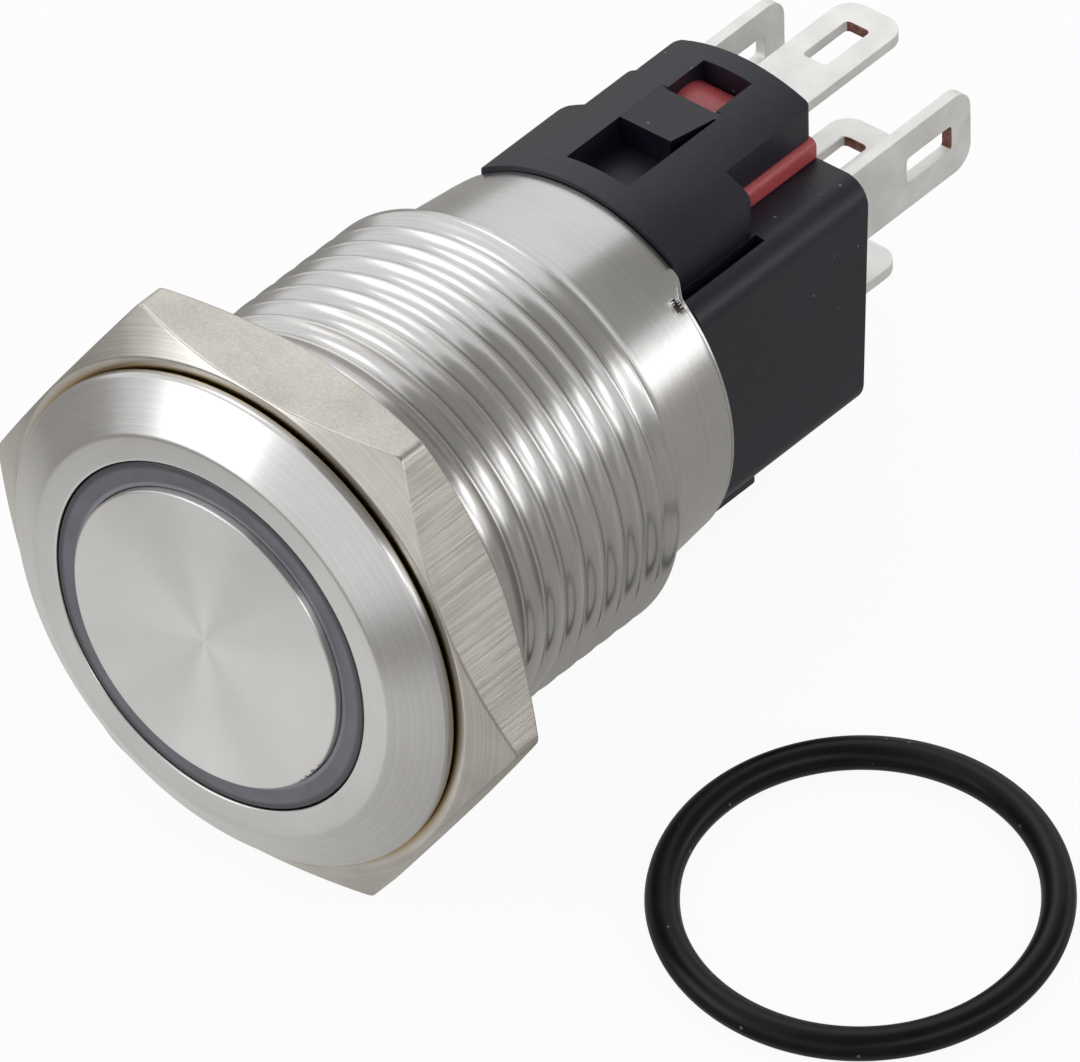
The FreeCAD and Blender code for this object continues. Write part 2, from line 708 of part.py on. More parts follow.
def lug_planes():
    """Height and front end of each lug of the column."""
    return [
        (upper_lug_z(), OUTER_LUG_FRONT),
        (LUG_COLUMN_Z, COMMON_LUG_FRONT),
        (lower_lug_z(), OUTER_LUG_FRONT),
    ]


def lug_blank(width, y0, tip):
    """A flat lug in the plane of the axis, with a rounded tip and its wire slot."""
    half = LUG_THICKNESS / 2
    plate = rounded(slab(width, y0, tip, -half, half), LUG_TIP_RADIUS, UP, lambda p: p.y > tip - 0.1)
    slot_end = tip - LUG_SLOT_MARGIN
    slot = slab(LUG_SLOT_WIDTH, slot_end - LUG_SLOT_LENGTH, slot_end, -1, 1)
    return plate.cut(rounded(slot, LUG_SLOT_RADIUS, UP))


def make_contact_lug(z_mid, y0):
    """One lug of the column, at its height."""
    lug = lug_blank(LUG_WIDTH, y0, rear_face(z_mid) + LUG_REACH)
    lug.translate(UP * z_mid)
    return lug


def make_outer_lug(z_mid, contact_y):
    """The upper or lower lug, with the hole that its rivet is set in."""
    return make_contact_lug(z_mid, OUTER_LUG_FRONT).cut(rivet_shank(z_mid, contact_y))


def make_lamp_lug(side):
    """A lamp lug: the plate stands upright, and a narrow leg runs forward to the board's spring."""
    plate = lug_blank(LAMP_LUG_WIDTH, lamp_plate_front(), rear_face(LAMP_LUG_Z) + LAMP_LUG_REACH)
    plate.rotate(Vector(0, 0, 0), AXIS, 90)
    plate.translate(Vector(side * LAMP_LUG_X, 0, LAMP_LUG_Z))
    half = LUG_THICKNESS / 2
    leg = LAMP_LUG_LEG_WIDTH / 2
    x = side * LAMP_LUG_X
    z = lamp_leg_z()
    strip = block(x - half, x + half, LAMP_LUG_FRONT, lamp_plate_front() + 0.5, z - leg, z + leg)
    return plate.fuse(strip).removeSplitter()


# Changeover contact


def rivet_places():
    """Height of the lug and place along the axis for the rest contact and the pressed contact."""
    return [(upper_lug_z(), REST_CONTACT_Y), (lower_lug_z(), PRESSED_CONTACT_Y)]


def rivet_shank(z_mid, contact_y):
    """The round shank, from the lug's outer face to the chamber."""
    half = LUG_THICKNESS / 2
    turn = 1 if z_mid > 0 else -1
    outer = abs(z_mid) + half
    start = Vector(0, contact_y, turn * outer)
    return Part.makeCylinder(RIVET_SHANK_DIAMETER / 2, outer - CHAMBER_TOP, start, UP * -turn)


def make_rivet(z_mid, contact_y):
    """A contact rivet: shank through lug and block wall, domed head in the chamber."""
    turn = 1 if z_mid > 0 else -1
    start = Vector(0, contact_y, turn * CHAMBER_TOP)
    head = Part.makeCone(
        RIVET_HEAD_DIAMETER / 2, RIVET_HEAD_DIAMETER / 2 - 0.2, RIVET_HEAD_HEIGHT, start, UP * -turn
    )
    return rivet_shank(z_mid, contact_y).fuse(head).removeSplitter()


def make_contact_slider():
    """The slider in the chamber, straddling the common lug, with the rod that the hub pushes."""
    front = SLIDER_FRONT
    body = slab(SLIDER_WIDTH, front, SLIDER_REAR, -SLIDER_HEIGHT / 2, SLIDER_HEIGHT / 2)
    body = rounded(body, 0.4, AXIS)
    half_slot = SLIDER_SLOT_HEIGHT / 2
    slot = slab(
        SLIDER_WIDTH + 1, SLIDER_SLOT_FRONT, SLIDER_REAR + 1,
        LUG_COLUMN_Z - half_slot, LUG_COLUMN_Z + half_slot,
    )
    body = body.cut(slot)
    return body.fuse(rod(ROD_DIAMETER, HUB_REAR + PART_GAP, front + 0.5)).removeSplitter()


def make_wiper(turn, contact_y):
    """A bent leaf on the slider's rear that bears on the common lug and reaches one rivet."""
    root_y = SLIDER_REAR
    lug_face = LUG_COLUMN_Z + turn * (LUG_THICKNESS / 2 + WIPER_GAP)
    rivet_face = turn * (CHAMBER_TOP - RIVET_HEAD_HEIGHT - WIPER_GAP)
    t = WIPER_THICKNESS
    foot = turn * (SLIDER_HEIGHT / 2 - 0.6)
    heel = lug_face + turn * 0.9
    outside = [
        Vector(0, root_y, heel),
        Vector(0, root_y, foot),
        Vector(0, contact_y - 0.5, rivet_face),
        Vector(0, contact_y + 0.5, rivet_face),
    ]
    inside = [
        Vector(0, contact_y + 0.5, rivet_face - turn * t),
        Vector(0, contact_y - 0.4, rivet_face - turn * t),
        Vector(0, root_y + t, foot - turn * t),
        Vector(0, root_y + t, heel + turn * t),
        Vector(0, contact_y - 0.4, lug_face + turn * t),
        Vector(0, contact_y + 0.5, lug_face + turn * t),
        Vector(0, contact_y + 0.5, lug_face),
        Vector(0, contact_y - 0.5, lug_face),
    ]
    points = outside + inside
    leaf = Part.Face(Part.makePolygon(points + points[:1])).extrude(Vector(WIPER_WIDTH, 0, 0))
    leaf.translate(Vector(-WIPER_WIDTH / 2, 0, 0))
    return leaf


def make_all():
    """Every piece of the switch, by name."""
    parts = {
        "body_barrel": make_body_barrel(),
        "hex_nut": make_hex_nut(),
        "panel_seal_ring": make_panel_seal_ring(),
        "button_disc": make_button_disc(),
        "lens_ring": make_lens_ring(),
        "button_plunger": make_button_plunger(),
        "plunger_seal": make_plunger_seal(),
        "retaining_clip": make_retaining_clip(),
        "return_spring": make_return_spring(),
        "lamp_board": make_lamp_board(),
        "contact_block": make_contact_block(),
        "top_cover": make_top_cover(),
        "bottom_cover": make_bottom_cover(),
        "red_insert": make_red_insert(),
        "upper_contact_lug": make_outer_lug(*rivet_places()[0]),
        "common_contact_lug": make_contact_lug(LUG_COLUMN_Z, COMMON_LUG_FRONT),
        "lower_contact_lug": make_outer_lug(*rivet_places()[1]),
        "upper_contact_rivet": make_rivet(*rivet_places()[0]),
        "lower_contact_rivet": make_rivet(*rivet_places()[1]),
        "contact_slider": make_contact_slider(),
        "upper_moving_contact": make_wiper(1, REST_CONTACT_Y),
        "lower_moving_contact": make_wiper(-1, REST_CONTACT_Y),
    }
    for index in range(LAMP_COUNT):
        parts[f"lamp_{index + 1}"] = make_lamp(index)
    for name, side in (("left", -1), ("right", 1)):
        parts[f"{name}_lamp_lug"] = make_lamp_lug(side)
        parts[f"{name}_lamp_spring"] = make_lamp_spring(side)
    return parts


os.makedirs("parts", exist_ok=True)
for name, shape in make_all().items():
    shape.exportStep(os.path.join("parts", f"{name}.step"))
    print(name, len(shape.Solids), round(shape.Volume, 2), shape.isValid())
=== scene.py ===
# %% [markdown]
# # A ring-lit metal pushbutton switch
#
# The part is a panel switch: a turned steel barrel with a flat button, a hexagon nut on its
# thread, a black moulded contact block with flat lugs, and a rubber sealing ring that lies
# beside it. The solids come from the imported CAD model. This script gives them the surfaces
# that the eye meets: the thread, the milled and spun finishes, and the moulded grain.
#
# The frame is loaded first.

# %% Load the frame
import json
import math

import bmesh
import bpy
import numpy as np
from mathutils import Matrix, Vector

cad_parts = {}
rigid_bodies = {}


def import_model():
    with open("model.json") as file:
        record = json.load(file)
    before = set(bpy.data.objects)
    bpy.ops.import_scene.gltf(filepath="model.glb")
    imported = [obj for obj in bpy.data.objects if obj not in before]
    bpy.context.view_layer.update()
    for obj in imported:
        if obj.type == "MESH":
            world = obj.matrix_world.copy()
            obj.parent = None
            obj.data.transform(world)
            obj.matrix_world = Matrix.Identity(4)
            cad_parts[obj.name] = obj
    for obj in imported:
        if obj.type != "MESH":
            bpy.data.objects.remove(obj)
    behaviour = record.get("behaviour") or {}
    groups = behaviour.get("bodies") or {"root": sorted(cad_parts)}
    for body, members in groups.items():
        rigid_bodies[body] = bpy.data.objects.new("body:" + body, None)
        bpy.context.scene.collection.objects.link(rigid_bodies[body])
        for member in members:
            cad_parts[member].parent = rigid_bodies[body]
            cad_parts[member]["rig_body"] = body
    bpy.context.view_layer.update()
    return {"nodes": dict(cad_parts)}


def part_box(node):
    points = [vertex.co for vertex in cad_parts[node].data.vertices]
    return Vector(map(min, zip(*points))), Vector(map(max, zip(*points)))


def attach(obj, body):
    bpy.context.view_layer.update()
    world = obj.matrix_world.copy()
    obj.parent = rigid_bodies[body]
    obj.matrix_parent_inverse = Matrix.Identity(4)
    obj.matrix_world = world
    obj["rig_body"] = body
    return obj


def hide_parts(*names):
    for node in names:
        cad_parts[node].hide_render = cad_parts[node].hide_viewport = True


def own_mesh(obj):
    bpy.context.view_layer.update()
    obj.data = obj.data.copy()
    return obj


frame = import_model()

MM = 0.001

# %% [markdown]
# ## Helpers for materials
#
# A colour is written as the eye sees it, in sRGB hex, and Blender wants it linear, so one
# function turns it. Another adds a node with its settings and links. Every pattern is scaled
# from a real size in millimetres: a noise of scale 1 / s has features about s metres wide.

# %% Colour, node and scale helpers
def linear(code):
    """The linear colour of an sRGB hex code."""
    parts = [int(code[i:i + 2], 16) / 255 for i in (1, 3, 5)]
    return tuple(c / 12.92 if c <= 0.04045 else ((c + 0.055) / 1.055) ** 2.4 for c in parts) + (1.0,)


def add_node(tree, kind, inputs=None, **settings):
    """Adds a node. An input is a value, or the output of another node to link."""
    node = tree.nodes.new("ShaderNode" + kind)
    for name, value in settings.items():
        setattr(node, name, value)
    for name, value in (inputs or {}).items():
        if isinstance(value, bpy.types.NodeSocket):
            tree.links.new(value, node.inputs[name])
        else:
            node.inputs[name].default_value = value
    return node


def new_material(name):
    """An empty material and its node tree."""
    material = bpy.data.materials.new(name)
    material.use_nodes = True
    material.node_tree.nodes.clear()
    return material, material.node_tree


def per_metre(size_mm):
    """The scale that gives a pattern features of this size."""
    return 1 / (size_mm * MM)


def two_tone(tree, factor, first, second, low=0.35, high=0.65):
    """A colour that goes from one hex to another as a pattern goes from low to high."""
    ramp = add_node(tree, "ValToRGB", {"Fac": factor})
    ramp.color_ramp.elements[0].position = low
    ramp.color_ramp.elements[0].color = linear(first)
    ramp.color_ramp.elements[1].position = high
    ramp.color_ramp.elements[1].color = linear(second)
    return ramp.outputs["Color"]


def relief(tree, height, depth_mm, before=None):
    """A normal that is bent by a height pattern of this depth."""
    inputs = {"Height": height, "Strength": 1.0, "Distance": depth_mm * MM}
    if before is not None:
        inputs["Normal"] = before
    return add_node(tree, "Bump", inputs).outputs["Normal"]


def surface(tree, shader):
    """Sends a shader to the material's output."""
    add_node(tree, "OutputMaterial", {"Surface": shader.outputs[0]})


print("helpers ready; a 0.2 mm grain has scale", per_metre(0.2))

# %% [markdown]
# ## Helpers for shapes
#
# Turned pieces are meshes of revolution. Their half section is a list of radius and place
# along the axis, in millimetres, with every corner eased, because a real edge is never
# perfectly sharp and it is the eased edge that catches the light. The section may change with
# the angle: that is how the thread, the hexagon and the cut-back rim are made. A support point
# beside each eased corner keeps the flats flat in the shading.

# %% Turned shapes
def eased(points, radius=0.06, loop=True, steps=3):
    """Rounds the corners of a half section. A third number at a point is its own radius."""
    corners = [tuple(p) + (radius,) if len(p) == 2 else tuple(p) for p in points]
    made = []
    for i, (x, y, r) in enumerate(corners):
        if (not loop and i in (0, len(corners) - 1)) or r == 0:
            made.append((x, y))
            continue
        here = np.array((x, y), float)
        before = corners[i - 1][:2] - here
        after = corners[(i + 1) % len(corners)][:2] - here
        reach = min(r, 0.3 * np.linalg.norm(before), 0.3 * np.linalg.norm(after))
        before /= np.linalg.norm(before)
        after /= np.linalg.norm(after)
        made.append(tuple(here + before * reach * 1.4))
        for k in range(steps + 1):
            t = k / steps
            made.append(tuple(here + before * reach * (1 - t) ** 2 + after * reach * t ** 2))
        made.append(tuple(here + after * reach * 1.4))
    return made


def finished_mesh(name, points, faces):
    """A welded, smooth-shaded object with its faces outward."""
    mesh = bpy.data.meshes.new(name)
    mesh.from_pydata([tuple(p) for p in points], [], faces)
    work = bmesh.new()
    work.from_mesh(mesh)
    bmesh.ops.remove_doubles(work, verts=work.verts, dist=1e-7)
    bmesh.ops.recalc_face_normals(work, faces=work.faces)
    for face in work.faces:
        face.smooth = True
    work.to_mesh(mesh)
    work.free()
    piece = bpy.data.objects.new(name, mesh)
    bpy.context.scene.collection.objects.link(piece)
    return piece


def revolve(name, section_at, angles, loop=True, closed=True):
    """A mesh about the axis. section_at gives the half section at an angle, in millimetres."""
    sections = np.array([section_at(a) for a in angles])
    columns, rows = sections.shape[:2]
    radius, along = sections[..., 0], sections[..., 1]
    turn = np.array(angles)[:, None]
    points = np.stack([radius * np.cos(turn), along, radius * np.sin(turn)], -1).reshape(-1, 3) * MM
    faces = []
    for i in range(columns if closed else columns - 1):
        for j in range(rows if loop else rows - 1):
            a, b = i * rows, (i + 1) % columns * rows
            faces.append((a + j, a + (j + 1) % rows, b + (j + 1) % rows, b + j))
    return finished_mesh(name, points, faces)


def even_angles(count):
    """Angles all the way round, in radians."""
    return list(np.linspace(0, 2 * math.pi, count, endpoint=False))


print("an eased square corner has", len(eased([(0, 0), (1, 0), (1, 1)])) // 3, "points")

# %% [markdown]
# Moulded and stamped pieces start from the CAD node's own mesh. A copy is welded, its flat
# areas become single faces, and a bevel rounds the edges, so the node stays where the CAD put
# it and only its edges change. `stand_in` gives a piece its materials and the body it rides on,
# and hides the node it stands for.

# %% Dressed CAD nodes
WELD_DISTANCE = 2e-6
FLAT_WITHIN, SHARP_FROM = math.radians(0.6), math.radians(28)


def stand_in(piece, node, slot, *materials):
    """Gives a piece its materials and its body, and hides the node it stands for. The slot is not used."""
    for material in materials:
        piece.data.materials.append(material)
    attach(piece, frame["nodes"][node]["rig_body"])
    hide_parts(node)
    return piece


def dressed(node, edge_mm):
    """A copy of a CAD node with its sharp edges rounded."""
    source = frame["nodes"][node].data
    points = [v.co.copy() for v in source.vertices]
    faces = [tuple(p.vertices) for p in source.polygons]
    piece = finished_mesh(node + "_dressed", points, faces)
    work = bmesh.new()
    work.from_mesh(piece.data)
    bmesh.ops.remove_doubles(work, verts=work.verts, dist=WELD_DISTANCE)
    bmesh.ops.dissolve_limit(work, angle_limit=FLAT_WITHIN, verts=work.verts, edges=work.edges)
    work.to_mesh(piece.data)
    work.free()
    bevel = piece.modifiers.new("rounded_edges", "BEVEL")
    bevel.width = edge_mm * MM
    bevel.segments = 3
    bevel.limit_method = "ANGLE"
    bevel.angle_limit = SHARP_FROM
    bevel.use_clamp_overlap = True
    bevel.harden_normals = True
    return piece


print("nodes in the frame:", len(frame["nodes"]))

# %% [markdown]
# ## Where it lies, and the camera
#
# The switch rests on the lowest flat of its nut and on its rear cover, so in its own frame the
# table under it leans by about eight degrees. The table is a large pale plane. Where it is looked
# at it is lifted nearly to white, as the photograph's background is, and a little of its diffuse
# part is left so that it still takes the object's shadow.
# The photograph was made with a long lens from far off: nearly parallel lines of sight.

# %% Table, backdrop and camera
UP_FROM_TABLE = Vector((0.0884, -0.1073, 0.9903)).normalized()
TABLE_HEIGHT = -11.82
TABLE_HALF_SIDE = 3.0
TABLE_LIFT = 0.93


def seen_directly(tree, strength):
    """A factor that is this strong for camera, glossy and transmission rays, and 0 for others."""
    path = add_node(tree, "LightPath")
    either = add_node(tree, "Math", {0: path.outputs["Is Camera Ray"],
                                     1: path.outputs["Is Glossy Ray"]}, operation="MAXIMUM")
    any_of = add_node(tree, "Math", {0: either.outputs[0],
                                     1: path.outputs["Is Transmission Ray"]}, operation="MAXIMUM")
    return add_node(tree, "Math", {0: any_of.outputs[0], 1: strength}, operation="MULTIPLY").outputs[0]


def white_table():
    """Matte white, lifted to the white of the background where it is looked at."""
    material, tree = new_material("white_table")
    place = add_node(tree, "TexCoord").outputs["Object"]
    grain = add_node(tree, "TexNoise", {"Vector": place, "Scale": per_metre(4), "Detail": 2})
    colour = two_tone(tree, grain.outputs["Fac"], "#F4F4F3", "#F6F6F6")
    matte = add_node(tree, "BsdfDiffuse", {"Color": colour})
    glow = add_node(tree, "Emission", {"Color": (1, 1, 1, 1), "Strength": 1.0})
    lift = add_node(tree, "MixShader", {0: seen_directly(tree, TABLE_LIFT), 1: matte.outputs[0],
                                        2: glow.outputs[0]})
    surface(tree, lift)
    return material


table_mesh = bpy.data.meshes.new("table")
SQUARE = [(-1, -1), (1, -1), (1, 1), (-1, 1)]
table_mesh.from_pydata([(x * TABLE_HALF_SIDE, y * TABLE_HALF_SIDE, 0) for x, y in SQUARE],
                       [], [(0, 1, 2, 3)])
table = bpy.data.objects.new("table", table_mesh)
bpy.context.scene.collection.objects.link(table)
table.rotation_mode = "QUATERNION"
table.rotation_quaternion = UP_FROM_TABLE.to_track_quat("Z", "Y")
table.location = UP_FROM_TABLE * TABLE_HEIGHT * MM
table_mesh.materials.append(white_table())

SENSOR_WIDTH, FOCAL_LENGTH = 36.0, 999.925
CAMERA_PLACE = Vector((598.6214, -687.2953, 728.7736))
camera_data = bpy.data.cameras.new("camera")
camera_data.sensor_width = SENSOR_WIDTH
camera_data.lens = FOCAL_LENGTH
camera_data.clip_start = 0.05
camera_data.clip_end = 20.0
camera = bpy.data.objects.new("camera", camera_data)
bpy.context.scene.collection.objects.link(camera)
right = Vector((0.7704507, 0.6373075, -0.0156487))
upward = Vector((-0.3873738, 0.4875153, 0.7824770))
backward = Vector((0.5063075, -0.5967980, 0.6224828))
turn = Matrix((right, upward, backward)).transposed().to_4x4()
camera.matrix_world = Matrix.Translation(CAMERA_PLACE * MM) @ turn
bpy.context.scene.camera = camera
print("camera", round(camera.location.length, 3), "m away; table leans",
      round(math.degrees(UP_FROM_TABLE.angle(Vector((0, 0, 1)))), 1), "degrees")

# %% [markdown]
# ## Light
#
# Metal is drawn by what stands around it. In the photograph the left side of the studio is one
# large white. The right side is darker: a grey ceiling, a strip of light below it, and a grey wall
# down to the table. The world gives the white, four softboxes the brighter areas, and cards the
# greys. Softboxes light the object too. The cards are only seen in reflections, so they neither
# light nor shade it.
#
# The photograph's background is cut out to white, but its metal still shows the grey surface
# that the switch stood on. A card laid on the table gives that: pale in front of the button and
# greyer further off. As a lamp the world is weaker than it looks, so that with the
# softboxes a colour renders about as it is written.

# %% World, softboxes and cards
LIGHT_FROM_WORLD = 0.62

bpy.context.scene.view_settings.view_transform = "Standard"
world = bpy.data.worlds.new("studio")
world.use_nodes = True
bpy.context.scene.world = world
world.node_tree.nodes.clear()
direct = seen_directly(world.node_tree, 1 - LIGHT_FROM_WORLD)
level = add_node(world.node_tree, "Math", {0: direct, 1: LIGHT_FROM_WORLD}, operation="ADD")
sky = add_node(world.node_tree, "Background", {"Color": (1, 1, 1, 1), "Strength": level.outputs[0]})
add_node(world.node_tree, "OutputWorld", {"Surface": sky.outputs[0]})


def hang(thing, azimuth, elevation, distance):
    """Hangs a lamp or card, level and facing the switch. Azimuth 0 is in front, 90 to the right."""
    a, e = math.radians(azimuth), math.radians(elevation)
    out = Vector((math.sin(a) * math.cos(e), -math.cos(a) * math.cos(e), math.sin(e)))
    thing.location = out * distance
    thing.rotation_mode = "QUATERNION"
    thing.rotation_quaternion = out.to_track_quat("Z", "Y")
    bpy.context.scene.collection.objects.link(thing)


def softbox(name, azimuth, elevation, distance, width, height, radiance):
    """A large soft lamp, with the brightness that a reflection of it shows."""
    lamp = bpy.data.lights.new(name, "AREA")
    lamp.shape = "RECTANGLE"
    lamp.size = width
    lamp.size_y = height
    lamp.energy = radiance * math.pi * width * height
    hang(bpy.data.objects.new(name, lamp), azimuth, elevation, distance)


def card(name, width, height, shade, far_shade=None, reach=(0, 1)):
    """A card that only reflections see. Its grey may go over to another one away from its middle."""
    material, tree = new_material(name + "_cloth")
    place = add_node(tree, "TexCoord").outputs["Object"]
    away = add_node(tree, "VectorMath", {0: place}, operation="LENGTH").outputs["Value"]
    there = add_node(tree, "MapRange", {"Value": away, "From Min": reach[0], "From Max": reach[1]})
    colour = two_tone(tree, there.outputs[0], shade, far_shade or shade, 0.0, 1.0)
    surface(tree, add_node(tree, "Emission", {"Color": colour, "Strength": 1.0}))
    mesh = bpy.data.meshes.new(name)
    mesh.from_pydata([(x * width / 2, y * height / 2, 0) for x, y in SQUARE], [], [(0, 1, 2, 3)])
    mesh.materials.append(material)
    panel = bpy.data.objects.new(name, mesh)
    panel.visible_camera = False
    panel.visible_diffuse = False
    panel.visible_shadow = False
    return panel


# Azimuth, elevation and distance, then width and height in metres, and the brightness.
softbox("softbox_front_left", -34, 20, 0.9, 0.5, 0.42, 1.6)
softbox("softbox_above_left", -115, 60, 0.9, 0.5, 0.5, 1.1)
softbox("strip_right", 78, 29, 1.0, 0.9, 0.24, 1.4)
softbox("strip_behind", 129, 11, 1.0, 0.8, 0.26, 1.3)
ceiling = card("dark_ceiling", 3.0, 0.86, "#9B9996")
hang(ceiling, 92, 62, 0.9)
wall = card("dark_wall", 3.0, 0.3, "#9B9996")
hang(wall, 95, 1, 0.9)
sheet = card("grey_sheet", 2.4, 2.4, "#F1F0EE", "#A8A6A3", (0.012, 0.046))
in_front_of_button = Matrix.Translation((-0.014, -0.02, 0.0002))
narrowed = Matrix.Diagonal((0.6, 1.3, 1, 1))
sheet.matrix_world = table.matrix_basis @ in_front_of_button @ narrowed
bpy.context.scene.collection.objects.link(sheet)
print("softboxes:", len(bpy.data.lights), "and cards:", len((ceiling, wall, sheet)))

# %% [markdown]
# ## Metals
#
# Barrel, button and nut are taken to be stainless steel. What tells them apart is the cutting: a
# lathe leaves fine rings round the axis, a facing tool leaves rings on the flat button that
# stretch every reflection into a radial fan, and a mill leaves short straight lines on the nut's
# flats. The rings are a noise that reads only the radius and the place along the axis, so it
# can't change round the piece. Real ones are finer than a pixel, so they are drawn coarser.

# %% Turned and milled metal
def round_the_axis(tree):
    """Coordinates that change with the radius and along the axis, but not round it."""
    place = add_node(tree, "TexCoord").outputs["Object"]
    flat = add_node(tree, "VectorMath", {0: place, 1: (1, 0, 1)}, operation="MULTIPLY")
    radius = add_node(tree, "VectorMath", {0: flat.outputs["Vector"]}, operation="LENGTH")
    along = add_node(tree, "SeparateXYZ", {0: place}).outputs["Y"]
    both = add_node(tree, "CombineXYZ", {0: radius.outputs["Value"], 1: along})
    return place, both.outputs[0]


def turned_steel(name, dark, light, roughness, ring_mm, ring_depth_mm, cloud_depth_mm, stretch):
    """Stainless steel from the lathe: rings, cloudy reflections, stretched across the rings."""
    material, tree = new_material(name)
    place, rings_at = round_the_axis(tree)
    rings = add_node(tree, "TexNoise", {"Vector": rings_at, "Scale": per_metre(ring_mm),
                                        "Detail": 3, "Roughness": 0.6})
    stain = add_node(tree, "TexNoise", {"Vector": place, "Scale": per_metre(3.5), "Detail": 4})
    mixed = add_node(tree, "Mix", {0: 0.45, 2: rings.outputs["Fac"], 3: stain.outputs["Fac"]})
    colour = two_tone(tree, mixed.outputs[0], dark, light)
    matte = add_node(tree, "MapRange", {"Value": stain.outputs["Fac"], "To Min": roughness * 0.85,
                                        "To Max": roughness * 1.2})
    ringed = relief(tree, rings.outputs["Fac"], ring_depth_mm)
    shader = add_node(tree, "BsdfPrincipled", {
        "Base Color": colour, "Metallic": 1.0, "Roughness": matte.outputs[0],
        "Anisotropic": stretch, "Anisotropic Rotation": 0.25,
        "Tangent": add_node(tree, "Tangent", direction_type="RADIAL", axis="Y").outputs[0],
        "Normal": relief(tree, stain.outputs["Fac"], cloud_depth_mm, before=ringed)})
    surface(tree, shader)
    return material


def wire_or_strip(name, dark, light, roughness):
    """Drawn, rolled or punched metal with a fine grain."""
    material, tree = new_material(name)
    place = add_node(tree, "TexCoord").outputs["Object"]
    grain = add_node(tree, "TexNoise", {"Vector": place, "Scale": per_metre(0.3), "Detail": 4})
    colour = two_tone(tree, grain.outputs["Fac"], dark, light)
    surface(tree, add_node(tree, "BsdfPrincipled", {
        "Base Color": colour, "Metallic": 1.0, "Roughness": roughness,
        "Normal": relief(tree, grain.outputs["Fac"], 0.003)}))
    return material


turned = turned_steel("turned_stainless_steel", "#C3C2C1", "#D1D0CF", 0.24, 0.07, 0.0003, 0.012, 0.5)
spun = turned_steel("spun_stainless_steel", "#D1D0CF", "#DFDEDD", 0.3, 0.06, 0.0005, 0.002, 0.95)
print("metals:", turned.name, spun.name)

# %% [markdown]
# ## The barrel
#
# Head, thread and skirt are one turned piece. A real thread is a helix, so its radius depends
# on the angle as well as the place along the axis: one turn of the angle moves the crest by
# one pitch. The crests are narrow and bright and the grooves between them wide and round.
# At the rear the rim is cut back at both sides, and there is a small punch mark, with shade painted dark
# inside it.
# Only one mark can be seen in the photograph. The one across from it is a guess.

# %% Barrel mesh
HEAD_FACE, HEAD_RADIUS, FACE_RADIUS, POCKET_RADIUS = -1.7, 11.0, 8.95, 7.8
BEVEL_END, NECK_RADIUS = -0.4, 9.05
CREST_RADIUS, PITCH, GROOVE_DEPTH, FIRST_CREST = 9.5, 1.193, 0.41, 1.445
THREAD_START, THREAD_END, SKIRT_START, RIM = 0.05, 15.6, 16.2, 20.9
SKIRT_FRONT, SKIRT_REAR, REAR_BORE = 8.7, 8.25, 7.7
COLLAR_FRONT, COLLAR_REAR, COLLAR_BORE = 3.3, 5.9, 5.6
RIM_CUT, RAMP_LOW, RAMP_HIGH = 0.5, math.radians(45), math.radians(52)
PUNCH_DEGREES, SLOPE_DEGREES = (45, 225), (48.5, 131.5, 228.5, 311.5)
PUNCH_TURNS = [math.radians(a) for a in PUNCH_DEGREES]
PUNCH_PLACE, PUNCH_HALF_WIDTH, PUNCH_HALF_LENGTH, PUNCH_DEPTH = 19.95, 0.3, 0.2, 0.025
CREST_EDGE, GROOVE_ROUNDING = 0.95, 2.4
RUN_OUT_FADE = 0.6
SKIRT_ROW_START, SKIRT_ROW_STEP = 16.6, 0.15
CREST_PHASES = (0, 0.025, 0.06, 0.11, 0.18, 0.27, 0.38, 0.5, 0.62, 0.73, 0.82, 0.89, 0.94, 0.975)


def groove_depth(phase):
    """How deep the thread is at a phase: nothing at the crest, and a round groove between crests."""
    from_groove = abs(2 * (phase % 1) - 1)
    return GROOVE_DEPTH * (1 - min(1, from_groove / CREST_EDGE) ** GROOVE_ROUNDING)


def thread_section(angle):
    """The thread at an angle. Each point keeps its phase and climbs with the helix."""
    points = []
    turns = int((THREAD_END - THREAD_START) / PITCH) + 3
    for k in range(-2, turns):
        for phase in CREST_PHASES:
            y = FIRST_CREST + (k + phase - angle / (2 * math.pi)) * PITCH
            y = min(max(y, THREAD_START), THREAD_END)
            here = (y - FIRST_CREST) / PITCH + angle / (2 * math.pi)
            fade = min(1, max(0, (THREAD_END - 0.1 - y) / RUN_OUT_FADE))
            points.append((CREST_RADIUS - groove_depth(here) * fade, y))
    return points


def rim_at(angle):
    """The rim stands back at the two sides, with a slope between the two heights."""
    from_side = abs(math.remainder(angle, math.pi))
    t = min(1, max(0, (from_side - RAMP_LOW) / (RAMP_HIGH - RAMP_LOW)))
    return RIM - RIM_CUT * (1 - t * t * (3 - 2 * t))


def skirt_radius(angle, along):
    """The tapered skirt, with a small shallow punch mark at two places."""
    t = (along - SKIRT_START) / (RIM - SKIRT_START)
    radius = SKIRT_FRONT + (SKIRT_REAR - SKIRT_FRONT) * t
    for place in PUNCH_TURNS:
        across = math.remainder(angle - place, 2 * math.pi) * radius
        back = along - PUNCH_PLACE + 0.5 * across
        fall = (across / PUNCH_HALF_WIDTH) ** 4 + (back / PUNCH_HALF_LENGTH) ** 4
        radius -= PUNCH_DEPTH * math.exp(-fall)
    return radius


